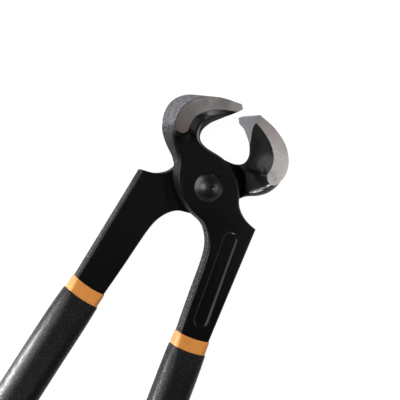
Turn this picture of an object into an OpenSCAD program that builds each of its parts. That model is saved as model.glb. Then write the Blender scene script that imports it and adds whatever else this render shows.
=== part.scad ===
// End cutting nippers of the carpenter's pincer type: two steel forgings crossing in a lap joint
// round one rivet, with handles dipped in two layers. The tool lies flat, jaws towards +Y, +Z up.
// Each half is one loft: sections run across the forging from its back edge to its throat edge,
// from the jaw tip round the hook, through the lap plate and down the arm to the end of the tang.

/* [Jaws] */
// width of the cutting edge, between the ground sides of the jaw
jaw_w = 20.8; // [18:0.1:24]
// pivot to cutting edge, along the tool
jaw_reach = 34; // [31:0.5:38]
// tool's middle to the back of one jaw
jaw_back = 25.8; // [24:0.2:29]
// opening between the two cutting edges as the tool lies
edge_gap = 6; // [3:0.1:8]
// slope of the ground face inside the edge, from the tool's middle
bevel_angle = 35; // [30:1:40]
// length of that face down the middle of the jaw
bevel_l = 11.4; // [10:0.1:12.5]
// slope of the narrow end face above the edge
land_angle = 45; // [35:1:55]
// widest part of the ground band on the jaw's side
jaw_flat = 6.4; // [5:0.1:8]
// tool's middle to the deepest point of the hook
throat_half = 11.5; // [10.5:0.1:13]
// pivot to the foot of the throat
throat_y = 13.9; // [13.2:0.1:15]
// how far the front jaw's crown stands out on its far side, left so by hand grinding
crown_lean = 1.7; // [0:0.1:2]

/* [Joint] */
// pivot to the edge of the lap plate
plate_r = 14.4; // [13.8:0.1:15]
// mid-plane of the joint to the outer face of each plate
plate_t = 7.2; // [6.4:0.1:8]
// space between the two lap faces
lap_gap = 0.3; // [0.2:0.05:0.5]
// round pocket in each half that the other plate turns in
pocket_r = 16.5; // [16:0.1:17]
// rivet shank
rivet_d = 8; // [6:0.1:9.5]
// running fit of the shank in both bores, on the radius
rivet_fit = 0.05; // [0.02:0.01:0.09]
// domed head in front
head_d = 12; // [11:0.1:14]
// height of the domed head
head_h = 3.4; // [2.4:0.1:4]
// formed head behind
tail_d = 11.2; // [10.4:0.1:13]
// height of the formed head
tail_h = 2.2; // [1.6:0.1:2.6]
// dimple in the middle of the domed head
dimple_d = 1.8; // [1.2:0.1:2.6]

/* [Arms] */
// thickness of the arm
arm_t = 7.2; // [6:0.1:8]
// width of the arm at the handle
arm_w = 13.3; // [12:0.1:14.5]
// pivot to the top of the handle, along the tool
arm_l = 56.1; // [50:0.5:64]
// tool's middle to the middle of the arm at the top of the handle
arm_out = 23.75; // [21:0.25:27]
// lean of the handle from the tool's middle
splay = 6.8; // [4:0.2:9]
// tool's middle to the corner of the shoulder
shoulder_x = 26.4; // [25:0.2:28]
// shoulder corner below the pivot
shoulder_y = 5.7; // [4.5:0.1:7]
// top of the crotch below the pivot
crotch_y = 12.4; // [11.8:0.1:13]
// half width of the crotch where the straight arm begins
crotch_w = 12.9; // [12:0.1:14]
// height of the crotch curve
crotch_h = 14; // [12:0.5:16]
// middle of the arm above the mid-plane at the shoulder
shoulder_rise = 2.6; // [2:0.1:2.8]
// middle of the arm above the mid-plane at the handle
band_rise = 1.5; // [0.8:0.1:2]
// rounding of the forging's long edges
edge_r = 1; // [0.6:0.1:1.4]
// bevel along the throat side of the neck
neck_bevel = 2.4; // [1.4:0.1:3]
// width of the sunk panel on the arm
panel_w = 5.6; // [4:0.1:7]
// depth of the sunk panel
panel_depth = 0.6; // [0.3:0.05:1]
// lower end of the panel above the handle
panel_foot = 7.5; // [5:0.5:12]

/* [Handles] */
// length of the dipped handle from the top of its inner layer
handle_l = 109.5; // [100:0.5:120]
// height of the inner layer that shows above the grip
band_h = 5.6; // [4:0.1:8]
// inner layer's thickness at its top edge
dip_start = 0.35; // [0.1:0.05:0.5]
// inner layer's thickness below the band
dip_t = 0.6; // [0.5:0.05:0.9]
// clearance between the layers of one handle
dip_fit = 0.02; // [0.01:0.01:0.05]
// width of the grip
grip_w = 16.6; // [15:0.1:18]
// thickness of the grip
grip_t = 11; // [10:0.1:13]
// rounding of the grip's long edges
grip_r = 4.4; // [3:0.1:5]
// length over which the grip swells to its full size
grip_swell = 14; // [8:1:20]
// length of the rounded end of the grip
grip_round = 7; // [5:0.5:10]
// inward bow of the handle's end
handle_bow = 2.2; // [0:0.1:4]
// length of the steel tang inside the handle
tang_l = 98; // [85:0.5:99]
// width of the tang at its end
tang_w = 11; // [9:0.1:12]
// thickness of the tang at its end
tang_t = 6; // [5:0.1:7]
// rounding of the tang's long edges
tang_r = 2.2; // [1.6:0.1:2.8]
// middle of the handle's end above the mid-plane
end_rise = 0.6; // [0:0.1:1.2]

/* [View] */
// piece to draw, or all

/* [Hidden] */
$fn = 60;
// how far every cutting tool runs past the steel
over = 30;
// steel left on the forged jaw sides for grinding
grind = 0.8;
// steel left on the crest of the hook for grinding
crest_over = 1.35;
// rounding of the jaw's outer edges before grinding
jaw_edge_r = 0.5;
// depth of the dimple below the dome
dimple_h = 0.45;
// a handle's wall is at least this thick at the closed end of the inner layer
end_wall = 1.2;
// grip outside its inner layer where it begins
grip_step = 0.5;

edge = [-edge_gap / 2, jaw_reach];
jaw_half = jaw_w / 2 + grind;
bevel_dir = [-sin(bevel_angle), -cos(bevel_angle)];
bevel_side = [cos(bevel_angle), -sin(bevel_angle)];
handle_dir = [sin(splay), -cos(splay)];
handle_side = [cos(splay), sin(splay)];
handle_top = [arm_out, -arm_l];

// back edge of the head as shares of jaw_back and jaw_reach, from the tip round to the neck
head_share = [[-0.10, 1.059], [-0.19, 1.044], [-0.32, 1.026], [-0.473, 1.0], [-0.628, 0.953],
    [-0.764, 0.894], [-0.88, 0.812], [-0.961, 0.718], [-1, 0.615], [-0.996, 0.506],
    [-0.955, 0.4], [-0.875, 0.301], [-0.772, 0.216], [-0.67, 0.142]];
// neck side of the lap plate as shares of plate_r, from the waist down to the crotch
neck_share = [[-1.076, 0.132], [-0.986, -0.083], [-0.847, -0.292], [-0.653, -0.486],
    [-0.417, -0.653], [-0.16, -0.785]];
// crotch curve as shares of crotch_w and crotch_h
crotch_share = [[0.116, 0], [0.388, 0.071], [0.597, 0.207], [0.767, 0.4], [0.907, 0.657], [1, 1]];
// forged crest along the bevel as shares of bevel_l, from past the tip down to its foot
crest_share = [-0.21, 0.03, 0.285, 0.53, 0.765, 0.985];
// hook as shares of throat_half and of the height between throat foot and edge
hook_share = [[-0.917, 0.443], [-0.992, 0.333], [-1, 0.234], [-0.95, 0.144], [-0.833, 0.075],
    [-0.667, 0.03], [-0.442, 0.01], [-0.192, 0]];
// throat side of the lap plate as shares of plate_r
rim_share = [[0.069, 0.931], [0.319, 0.826], [0.569, 0.667], [0.785, 0.437], [0.931, 0.208],
    [1.028, 0.014]];
// concave top of the shoulder, as shares of the way from the plate to the corner
shoulder_share = [[0.241, 0.475], [0.603, 0.83], [1, 1]];
// sections down the arm, as shares of its length from the shoulder corner
arm_share = [0.1, 0.22, 0.363, 0.6, 1];

function mix(a, b, s) = a + (b - a) * s;
function scaled(p, s) = [p.x * s.x, p.y * s.y];

// place of the pivot, with the whole tool centred on the origin and resting on Z 0
top_y = jaw_reach * head_share[1][1];
foot_y = arm_l + handle_l * cos(splay);
pivot_y = (foot_y - top_y) / 2;
mid_z = jaw_w / 2;

crotch_foot = [crotch_w, -crotch_y - crotch_h];
band_in = handle_top - handle_side * arm_w / 2;
band_out = handle_top + handle_side * arm_w / 2;
corner = [shoulder_x, -shoulder_y];
rim_end = scaled(rim_share[5], [plate_r, plate_r]);

// back edge of the half: jaw back, neck, crotch, inner side of the arm
back_line = concat(
    [for (s = head_share) scaled(s, [jaw_back, jaw_reach])],
    [for (s = neck_share) scaled(s, [plate_r, plate_r])],
    [for (s = crotch_share) [crotch_w * s.x, -crotch_y - crotch_h * s.y]],
    [for (s = [1 / 3, 1]) mix(crotch_foot, band_in, s)]
);
// throat edge of the half: crest, hook, rim of the plate, shoulder
throat_line = concat(
    [for (s = crest_share) edge + bevel_dir * bevel_l * s + bevel_side * crest_over * (1 - s)],
    [for (s = hook_share) [throat_half * s.x, mix(throat_y, jaw_reach, s.y)]],
    [for (s = rim_share) scaled(s, [plate_r, plate_r])],
    [for (s = shoulder_share) [mix(rim_end.x, corner.x, s.x), mix(rim_end.y, corner.y, s.y)]]
);
// outer side of the arm from the shoulder corner to the handle
arm_line = concat([corner], [for (s = arm_share) mix(corner, band_out, s)]);

rows = len(back_line);
turn = len(throat_line) - 1;

// how much each row is jaw, and where its faces lie, as shares between the levels named beside them
jaw_share = [1, 1, 1, 1, 1, 1, 1, 1, 1, 1, 0.85, 0.45, 0.2, 0.08, 0, 0, 0, 0, 0, 0, 0, 0, 0,
    0, 0, 0, 0, 0];
// front face from the plate up to the forged jaw side
front_share = [1, 1, 1, 1, 1, 1, 1, 1, 1, 1, 0.78, 0.1, 0, 0, 0, 0, 0, 0, 0, 0, 0, 0, 0,
    0, 0, 0, 0, 0];
// rear face from the arm's rear face to the forged jaw side
rear_share = [1, 1, 1, 1, 1, 1, 1, 1, 1, 1, 0.98, 0.88, 0.62, 0.28, 0.06, 0, 0, 0, 0, 0, 0, 0, 0,
    0, 0, 0, 0, 0];
// front face from the plate down to the arm
fall_share = [0, 0, 0, 0, 0, 0, 0, 0, 0, 0, 0, 0, 0, 0, 0, 0, 0, 0, 0.03, 0.12, 0.32, 0.6, 0.85,
    0.97, 1, 1, 1, 1];
// middle of the arm from the shoulder's rise to the handle's
rise_share = [0, 0, 0, 0, 0, 0, 0, 0, 0, 0, 0, 0, 0, 0, 0, 0, 0, 0, 0, 0, 0, 0, 0,
    0.1, 0.22, 0.363, 0.6, 1];
// ground band of the jaw's side as shares of jaw_flat
flat_share = [0.3, 0.62, 0.72, 0.83, 0.91, 0.97, 0.99, 0.985, 1, 0.97, 0.81, 0.7, 0.7, 0.7, 0.7,
    0.7, 0.7, 0.7, 0.7, 0.7, 0.7, 0.7, 0.7, 0.7, 0.7, 0.7, 0.7, 0.7];
// throat side's bevel from the plain edge rounding to the neck's bevel
bevel_share = [1, 1, 1, 1, 1, 1, 1, 1, 1, 1, 1, 1, 1, 0.95, 0.8, 0.55, 0.3, 0.15, 0.05, 0, 0, 0, 0,
    0, 0, 0, 0, 0];
// outward lean of the front jaw's crown as shares of crown_lean, down to the back of the jaw
crown_share = [0, 0.1, 0.3, 0.6, 0.9, 1, 0.85, 0.5, 0.2, 0];
// corner roundings of one quarter turn as shares of their radius, sideways and upwards
round_share = [[0, 0], [0.134, 0.5], [0.5, 0.866], [1, 1]];

// smooth curve through listed values, with the neighbours kept between two rows
function along(list, i, u, low, high) =
    let (a = list[max(i - 1, low)], b = list[i], c = list[min(i + 1, high)],
        d = list[min(i + 2, high)])
    b + ((c - a) * u + (2 * a - 5 * b + 4 * c - d) * u * u + (3 * b - a - 3 * c + d) * u * u * u) / 2;

// one section: places across it from the back edge and heights as shares of its half thickness
function bar_profile(d, h, r, q) = concat(
    [[0, 0]],
    [for (s = round_share) [r * s.x, 1 - r * (1 - s.y) / h]],
    [for (s = [0.3, 0.55, 0.8]) [mix(r, d - q, s), 1]],
    [for (k = [3:-1:0]) [d - q * round_share[k].x, 1 - q * (1 - round_share[k].y) * 4 / 3 / h]],
    [[d, 0]]
);
function jaw_profile(d, h, r, c) =
    let (lean = grind * (d - c) / (jaw_w / 2), k = jaw_w / 2 / jaw_half)
    concat(
        [[0, 0]],
        [for (s = round_share) [r * s.x, 1 - r * (1 - s.y) / h]],
        [for (s = [0.5, 0.8, 1]) [(c - lean) * s, 1]],
        [[c, k]],
        [for (s = [0.35, 0.7, 0.93]) [mix(c, d, s), k * (1 - s * 0.96)]],
        [[d, 0]]
    );
// closed ring of points round a section that stands on the line from p to q,
// and whose back edge leans out on the low side
function ring(p, q, profile, low, high, lean = 0) =
    let (d = norm(q - p), way = (q - p) / d, mid = (low + high) / 2, h = (high - low) / 2,
        n = len(profile) - 1)
    concat(
        [for (k = [0:n]) let (x = profile[k].x, y = profile[k].y)
            concat(p + way * (x - lean * (1 - y) / 2 * (1 - x / d)), mid + h * y)],
        [for (k = [n - 1:-1:1]) let (x = profile[k].x, y = profile[k].y)
            concat(p + way * (x - lean * (1 + y) / 2 * (1 - x / d)), mid - h * y)]
    );

// ring of the forged half at row i and share u of the way to the next
function half_ring(i, u, lean) =
    let (p = along(back_line, i, u, 0, rows - 1),
        q = i < turn ? along(throat_line, i, u, 0, turn) : along(arm_line, i - turn, u, 0, 5),
        d = norm(q - p), top = rows - 1,
        w = along(jaw_share, i, u, 0, top),
        middle = mix(shoulder_rise, band_rise, along(rise_share, i, u, 0, top)),
        plate = mix(plate_t, jaw_half, along(front_share, i, u, 0, top)),
        high = mix(plate, middle + arm_t / 2, along(fall_share, i, u, 0, top)),
        low = mix(middle - arm_t / 2, -jaw_half, along(rear_share, i, u, 0, top)),
        c = min(jaw_flat * along(flat_share, i, u, 0, top), d * 0.9),
        r = mix(edge_r, jaw_edge_r, w),
        q_r = mix(edge_r, neck_bevel, along(bevel_share, i, u, 0, top)),
        bar = bar_profile(d, (high - low) / 2, r, q_r),
        jaw = jaw_profile(d, (high - low) / 2, r, c),
        last = len(crown_share) - 1,
        out = i < last ? lean * along(crown_share, i, u, 0, last) : 0)
    ring(p, q, bar * (1 - w) + jaw * w, low, high, out);

// middle of the handle at a distance below its top, and the direction across it there
function handle_mid(s) =
    handle_top + handle_dir * s - handle_side * handle_bow * pow(s / handle_l, 2);
function handle_across(s) =
    let (lean = 2 * handle_bow * s / handle_l / handle_l, v = handle_side + handle_dir * lean)
    v / norm(v);
function handle_rise(s) = mix(band_rise, end_rise, s / handle_l);
// ring round the handle of a given width, thickness and edge rounding
function handle_ring(s, w, t, r) =
    let (m = handle_mid(s), v = handle_across(s) * w / 2, z = handle_rise(s))
    ring(m - v, m + v, bar_profile(w, t / 2, r, r), z - t / 2, z + t / 2);

function tang_width(s) = mix(arm_w, tang_w, s / tang_l);
function tang_depth(s) = mix(arm_t, tang_t, s / tang_l);
function tang_ring(s, o) =
    let (w = tang_width(min(s, tang_l)) + 2 * o, t = tang_depth(min(s, tang_l)) + 2 * o)
    handle_ring(s, w, t, mix(edge_r, tang_r, min(1, s / (band_h + grip_swell / 2))) + o);
function layer(s) = dip_fit + mix(dip_start, dip_t, min(1, s / band_h));

// share of the grip's full size at a distance below the top of the handle
function swell(s) = 1 - pow(max(0, 1 - (s - band_h) / grip_swell), 2);
function round_end(s) = sqrt(max(0.02, 1 - pow(max(0, 1 - (handle_l - s) / grip_round), 2)));
function grip_ring(s) =
    let (o = layer(band_h) + grip_step, f = swell(s), e = round_end(s),
        w = mix(tang_width(band_h) + 2 * o, grip_w, f) - grip_t * (1 - e),
        t = mix(tang_depth(band_h) + 2 * o, grip_t, f) * e,
        r = min(mix(tang_r + o, grip_r, f), t / 2.1))
    handle_ring(s, w, t, r);

// skin over a chain of rings with a fan over each end
module skin(rings) {
    n = len(rings[0]);
    m = len(rings);
    points = concat([for (r = rings) each r], [middle_of(rings[0]), middle_of(rings[m - 1])]);
    faces = concat(
        [for (i = [0:m - 2]) for (k = [0:n - 1]) let (j = (k + 1) % n)
            [i * n + k, i * n + j, (i + 1) * n + j]],
        [for (i = [0:m - 2]) for (k = [0:n - 1]) let (j = (k + 1) % n)
            [i * n + k, (i + 1) * n + j, (i + 1) * n + k]],
        [for (k = [0:n - 1]) [(k + 1) % n, k, m * n]],
        [for (k = [0:n - 1]) [(m - 1) * n + k, (m - 1) * n + (k + 1) % n, m * n + 1]]
    );
    polyhedron(points, faces, convexity = 6);
}
function middle_of(r) = sum(r) / len(r);
function sum(v, i = 0) = i == len(v) - 1 ? v[i] : v[i] + sum(v, i + 1);

// places of the half's sections: row number and share, closer together round the hook
half_rows = concat(
    [for (i = [0:12]) each [[i, 0], [i, 0.5]]],
    [for (i = [13:turn - 1]) each [[i, 0], [i, 0.5]]],
    [for (i = [turn:rows - 2]) [i, 0]]
);
tang_places = concat([0, band_h, band_h + grip_swell / 2], [for (k = [2:6]) tang_l * k / 6]);

module forging(lean) {
    skin(concat(
        [for (p = half_rows) half_ring(p.x, p.y, lean)],
        [for (s = tang_places) tang_ring(s, 0)]
    ));
}

// one half in the pivot's frame, jaw to the upper left and arm to the lower right
module half(lean = 0) {
    bore_r = rivet_d / 2 + rivet_fit;
    panel_a = (back_line[turn + 1] + arm_line[1]) / 2;
    panel_b = handle_top - handle_dir * panel_foot;
    panel_v = panel_b - panel_a;
    face_a = mix(shoulder_rise, band_rise, arm_share[0]) + arm_t / 2;
    face_b = band_rise + arm_t / 2;
    panel_tilt = atan((face_a - face_b) / norm(panel_v));
    difference() {
        intersection() {
            forging(lean);
            translate([-jaw_back * 2, -arm_l - handle_l, -jaw_w / 2])
                cube([jaw_back * 5, jaw_reach * 2 + arm_l + handle_l, jaw_w]);
        }
        // ground face inside the cutting edge
        translate([edge.x, edge.y, -over])
            rotate([0, 0, -bevel_angle])
            translate([0, -bevel_l, 0])
            cube([over, bevel_l + over, 2 * over]);
        // narrow end face
        translate([edge.x, edge.y, -over])
            rotate([0, 0, land_angle])
            translate([0, -over / 3, 0])
            cube([over, over, 2 * over]);
        // pocket for the other half's plate
        translate([0, 0, -over])
            cylinder(h = over + lap_gap / 2, r = pocket_r);
        // rivet bore
        translate([0, 0, -over])
            cylinder(h = 2 * over, r = bore_r);
        // sunk panel on the arm
        translate([panel_a.x, panel_a.y, face_a - panel_depth])
            rotate([0, 0, atan2(panel_v.y, panel_v.x)])
            rotate([0, panel_tilt, 0])
            linear_extrude(over)
            racetrack(norm(panel_v), panel_w);
    }
}

module racetrack(l, w) {
    circle(d = w);
    translate([l, 0])
        circle(d = w);
    translate([0, -w / 2])
        square([l, w]);
}

// inner dipped layer: up inside from its closed end, over its top edge and down outside
module inner_layer() {
    end = tang_l + dip_fit;
    steps = concat([0, band_h + grip_swell / 2], [for (k = [2:6]) end * k / 6]);
    skin(concat(
        [for (k = [6:-1:0]) tang_ring(steps[k], dip_fit)],
        [for (s = [0, band_h / 2, band_h]) tang_ring(s, layer(s))],
        [for (k = [1:6]) tang_ring(steps[k], layer(band_h))],
        [tang_ring(end + end_wall, layer(band_h) / 2)]
    ));
}

// outer dipped layer with its rounded closed end
module grip() {
    o = layer(band_h) + dip_fit;
    end = tang_l + end_wall + 2 * dip_fit;
    inside = concat([band_h, band_h + grip_swell / 2], [for (k = [2:6]) end * k / 6]);
    swelling = [for (k = [0:4]) band_h + grip_swell * k / 4];
    body = [for (k = [1:5]) mix(band_h + grip_swell, handle_l - grip_round, k / 5)];
    tip = [for (k = [0.4, 0.7, 0.88, 0.97, 1]) handle_l - grip_round * (1 - k)];
    skin(concat(
        [for (k = [6:-1:0]) tang_ring(inside[k], o)],
        [for (s = concat(swelling, body, tip)) grip_ring(s)]
    ));
}

module rivet_body() {
    head_r = head_d / 2;
    tail_r = tail_d / 2;
    head_sphere = (head_r * head_r + head_h * head_h) / (2 * head_h);
    tail_sphere = (tail_r * tail_r + tail_h * tail_h) / (2 * tail_h);
    tail_z = -plate_t - lap_gap;
    dimple_r = dimple_d / 2;
    dimple_sphere = (dimple_r * dimple_r + dimple_h * dimple_h) / (2 * dimple_h);
    difference() {
        union() {
            translate([0, 0, tail_z - tail_h / 2])
                cylinder(h = plate_t - tail_z + (tail_h + head_h) / 2, d = rivet_d);
            intersection() {
                translate([0, 0, plate_t + head_h - head_sphere])
                    sphere(r = head_sphere);
                translate([0, 0, plate_t])
                    cylinder(h = head_sphere, r = head_r);
            }
            intersection() {
                translate([0, 0, tail_z - tail_h + tail_sphere])
                    sphere(r = tail_sphere);
                translate([0, 0, tail_z - tail_sphere])
                    cylinder(h = tail_sphere, r = tail_r);
            }
        }
        translate([0, 0, plate_t + head_h - dimple_h + dimple_sphere])
            sphere(r = dimple_sphere);
    }
}

// the front half stands as modelled, the rear one is turned over about the tool's length
module in_front() {
    translate([0, pivot_y, mid_z])
        children();
}
module behind() {
    translate([0, pivot_y, mid_z])
        rotate([0, 180, 0])
        children();
}

module front_half() {
    color("#262627") in_front() half(crown_lean);
}
module rear_half() {
    color("#303032") behind() half();
}
module rivet() {
    color("#18181a") in_front() rivet_body();
}
module front_sleeve() {
    color("#e8913a") in_front() inner_layer();
}
module rear_sleeve() {
    color("#e8913a") behind() inner_layer();
}
module front_grip() {
    color("#202022") in_front() grip();
}
module rear_grip() {
    color("#202022") behind() grip();
}

front_half();
rear_half();
rivet();
front_sleeve();
rear_sleeve();
front_grip();
rear_grip();
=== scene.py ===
# %% [markdown]
# # End cutting nippers
#
# Two black steel forgings cross in a lap joint round one domed rivet. Their hooked jaws are
# ground bright on the sides, and their handles are dipped twice, first in orange and then in
# black PVC with a sandy skin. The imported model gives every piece's place, so this script only
# adds what the eye looks for: smooth forged surfaces, ground faces, rounded edges and finishes.

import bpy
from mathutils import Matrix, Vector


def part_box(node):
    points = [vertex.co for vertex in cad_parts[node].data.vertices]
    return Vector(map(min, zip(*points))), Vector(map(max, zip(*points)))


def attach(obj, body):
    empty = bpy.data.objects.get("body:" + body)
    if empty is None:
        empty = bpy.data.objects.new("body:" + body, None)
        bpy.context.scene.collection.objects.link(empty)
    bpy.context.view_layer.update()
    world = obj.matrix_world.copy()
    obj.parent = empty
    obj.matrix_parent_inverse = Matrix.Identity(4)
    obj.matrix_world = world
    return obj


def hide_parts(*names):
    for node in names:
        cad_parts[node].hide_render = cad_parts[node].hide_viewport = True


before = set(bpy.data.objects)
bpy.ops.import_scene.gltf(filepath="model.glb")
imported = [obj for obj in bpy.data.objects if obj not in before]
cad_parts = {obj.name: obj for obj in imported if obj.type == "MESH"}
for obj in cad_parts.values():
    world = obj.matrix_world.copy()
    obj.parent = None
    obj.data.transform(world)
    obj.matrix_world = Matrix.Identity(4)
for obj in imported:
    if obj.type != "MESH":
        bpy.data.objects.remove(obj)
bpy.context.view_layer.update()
print("packed nodes:", len(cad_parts))

# %% Tools and the pivot's place
from functools import partial

import bpy
import numpy as np
from mathutils import Matrix

MM = 0.001
rivet_low, rivet_high = (np.array(corner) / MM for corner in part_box("rivet"))
half_low, half_high = (np.array(corner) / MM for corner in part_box("front_half"))
pivot = np.array([
    (rivet_low[0] + rivet_high[0]) / 2,
    (rivet_low[1] + rivet_high[1]) / 2,
    (half_low[2] + half_high[2]) / 2,
])
print("pivot at", pivot.round(2), "mm")

# %% [markdown]
# ## Surfaces from numbers
#
# A smooth forging could be sculpted or built from subdivided blocks. Here every surface is
# worked out as whole arrays of points instead: closed rings of points stand one behind the
# other, and neighbouring rings are joined by quads. The same helper then serves the forgings,
# the dipped handles and the rivet.


# %% Rings to a mesh
def ring_faces(rows, cols):
    """Quads and end fans of a chain of closed rings.
    Quad (i, k) joins points k and k + 1 of ring i to the same two of ring i + 1, and a fan
    joins each end ring to a pole that comes after all the rings."""
    i = np.arange(rows - 1)[:, None]
    k = np.arange(cols)[None, :]
    j = (k + 1) % cols
    quads = np.stack([i * cols + k, i * cols + j, (i + 1) * cols + j, (i + 1) * cols + k], -1)
    k, j = k[0], j[0]
    last = (rows - 1) * cols
    first_fan = np.stack([j, k, np.full(cols, rows * cols)], -1)
    last_fan = np.stack([last + k, last + j, np.full(cols, rows * cols + 1)], -1)
    return quads.reshape(-1, 4), np.concatenate([first_fan, last_fan])


def enclosed(points, triangles):
    """Volume that a closed mesh encloses: a sixth of its corners' triple products, summed."""
    a, b, c = (points[triangles[:, n]] for n in range(3))
    return np.einsum("ij,ij->i", a, np.cross(b, c)).sum() / 6


def into_scene(name, data):
    """Object that shows the data, put into the scene."""
    made = bpy.data.objects.new(name, data)
    bpy.context.scene.collection.objects.link(made)
    return made


def from_rings(name, rings, place):
    """Closed mesh object through an array of rings (rows, points, 3) in millimetres, moved
    into the frame by place. Faces are turned round where the volume comes out negative."""
    rows, cols = rings.shape[:2]
    points = np.concatenate([rings.reshape(-1, 3), rings[:1].mean(1), rings[-1:].mean(1)])
    points = place(points) * MM
    quads, fans = ring_faces(rows, cols)
    centred = points - points.mean(0)
    if enclosed(centred, np.concatenate([quads[:, :3], quads[:, [0, 2, 3]], fans])) < 0:
        quads, fans = quads[:, ::-1], fans[:, ::-1]
    mesh = bpy.data.meshes.new(name)
    mesh.from_pydata(points.tolist(), [], quads.tolist() + fans.tolist())
    return into_scene(name, mesh)


# %% The two halves' places
def in_front(points):
    """The pivot's own frame moved to the pivot, for the half that lies in front."""
    return points + pivot


def behind(points):
    """The same frame turned half round about the tool's length: x and z change sign."""
    return points * [-1, 1, -1] + pivot


# %% [markdown]
# ## Curves
#
# A hammer-forged outline has no corners or sudden changes of bend. A cubic spline with
# continuous curvature gives that from a few points, while a polyline or a bare arc would show
# breaks in the reflections. Heights and widths along the forging come from short tables of
# shares, eased by a moving average so that they never overshoot.


# %% Spline and eased tables
def mix(a, b, share):
    """Straight-line mix: a at share nought, b at share one."""
    return a + (b - a) * share


def averaged(table, at, t, width=0.6):
    """A table's straight-line reading, averaged over a raised-cosine window of half the given
    width on each side of t."""
    shifts = np.linspace(-width, width, 25)
    weights = 1 + np.cos(np.pi * shifts / width)
    return (np.interp(t[:, None] + shifts, at, table) * weights).sum(1) / weights.sum()


def eased(shares, t):
    """Shares along the rows, one for each whole t, with the ends held level."""
    return averaged(shares, np.arange(len(shares)), t)


def spline(points, t):
    """Natural cubic spline through points, at places t counted in points.
    The knots lie a chord apart; the slopes solve the equations that make slope and bend agree
    at each knot, and each span is a cubic between two points and two slopes."""
    points = np.asarray(points, float)
    n = len(points)
    step = np.linalg.norm(np.diff(points, axis=0), axis=1)
    knots = np.concatenate([[0], np.cumsum(step)])
    slope = np.diff(points, axis=0) / step[:, None]
    system = np.zeros((n, n))
    right = np.zeros_like(points)
    inner = np.arange(1, n - 1)
    system[inner, inner - 1] = step[1:]
    system[inner, inner] = 2 * (step[:-1] + step[1:])
    system[inner, inner + 1] = step[:-1]
    right[1:-1] = 3 * (step[1:, None] * slope[:-1] + step[:-1, None] * slope[1:])
    system[[0, 0, -1, -1], [0, 1, -1, -2]] = [2, 1, 2, 1]
    right[0], right[-1] = 3 * slope[0], 3 * slope[-1]
    tangent = np.linalg.solve(system, right)
    longer = [2 * knots[0] - knots[1], *knots, 2 * knots[-1] - knots[-2]]
    s = averaged(longer, np.arange(-1, n + 1), t)
    i = np.clip(np.searchsorted(knots, s, side="right") - 1, 0, n - 2)
    h = step[i][:, None]
    u = (s - knots[i])[:, None] / h
    return (
        (1 + 2 * u) * (1 - u) ** 2 * points[i]
        + u * (1 - u) ** 2 * h * tangent[i]
        + u * u * (3 - 2 * u) * points[i + 1]
        + u * u * (u - 1) * h * tangent[i + 1]
    )


# %% [markdown]
# ## The forging's outline
#
# One half is a single loft. Its sections stand upright across the forging, each from the back
# edge (outside of the hook, neck, crotch, inner side of the arm) to the throat edge (inside of
# the hook, rim of the lap plate, shoulder, outer side of the arm).

# %% Sizes in millimetres
# Jaw: width, reach above the rivet, back's distance from the middle, gap between the edges.
jaw_w = half_high[2] - half_low[2]
jaw_reach, jaw_back, edge_gap = 34, 25.8, 6
# Bevel inside the edge and narrow end face; flat side's width, throat's half width and foot.
bevel_angle, bevel_l, land_angle = np.radians(35), 10.9, np.radians(45)
jaw_flat, throat_half, throat_y = 6.4, 11.5, 13.9
# Lap plate: radius, thickness, play between the two, radius of the pocket that it turns in.
plate_r, plate_t, lap_gap, pocket_r = 14.4, 7.2, 0.3, 16.5
# Arm: thickness, width, length, distance from the middle, lean outwards.
arm_t, arm_w, arm_l, arm_out, splay = 7.2, 13.3, 56.1, 23.75, np.radians(6.8)
# Corner of the shoulder; how low the crotch starts, its half width and its height.
shoulder_x, shoulder_y = 26.4, 5.7
crotch_y, crotch_w, crotch_h = 12.4, 12.9, 14
# Height of the arm's middle at shoulder and band, radius of its edges, bevel of the neck.
shoulder_rise, band_rise, edge_r, neck_bevel = 2.6, 1.5, 1, 2.4
# Crest above the bevel, steel left for grinding, lean of the crown, swell of the belly.
crest_over, grind, crown_lean, belly_swell = 2.0, 0.8, 2.4, 1.7

edge = np.array([-edge_gap / 2, jaw_reach])
bevel_dir = np.array([-np.sin(bevel_angle), -np.cos(bevel_angle)])
bevel_side = np.array([np.cos(bevel_angle), -np.sin(bevel_angle)])
handle_dir = np.array([np.sin(splay), -np.cos(splay)])
handle_side = np.array([np.cos(splay), np.sin(splay)])
handle_top = np.array([arm_out, -arm_l])
print("ground jaw width", round(jaw_w, 2), "mm")

# %% Back edge, throat edge and arm as shares of those sizes
head_share = [[-0.10, 1.059], [-0.19, 1.044], [-0.32, 1.026], [-0.473, 1.0], [-0.628, 0.953],
    [-0.764, 0.894], [-0.88, 0.812], [-0.961, 0.718], [-1, 0.615], [-0.996, 0.506],
    [-0.955, 0.4], [-0.875, 0.301], [-0.772, 0.216], [-0.67, 0.142]]
neck_share = [[-1.076, 0.132], [-0.986, -0.083], [-0.847, -0.292], [-0.653, -0.486],
    [-0.417, -0.653], [-0.16, -0.785]]
crotch_share = [[0.116, 0], [0.388, 0.071], [0.597, 0.207], [0.767, 0.4], [0.907, 0.657],
    [1, 1]]
crest_share = [-0.21, 0.03, 0.285, 0.53, 0.765, 0.985]
hook_share = [[-0.917, 0.443], [-0.992, 0.333], [-1, 0.234], [-0.95, 0.144], [-0.833, 0.075],
    [-0.667, 0.03], [-0.442, 0.01], [-0.192, 0]]
rim_share = [[0.069, 0.931], [0.319, 0.826], [0.569, 0.667], [0.785, 0.437], [0.931, 0.208],
    [1.028, 0.014]]
shoulder_share = [[0.241, 0.475], [0.603, 0.83], [1, 1]]
arm_share = [0.1, 0.22, 0.363, 0.6, 1]

crotch_foot = np.array([crotch_w, -crotch_y - crotch_h])
corner = np.array([shoulder_x, -shoulder_y])
rim_end = np.array(rim_share[-1]) * plate_r
band_in = handle_top - handle_side * arm_w / 2
band_out = handle_top + handle_side * arm_w / 2
hook = np.array(hook_share)

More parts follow.
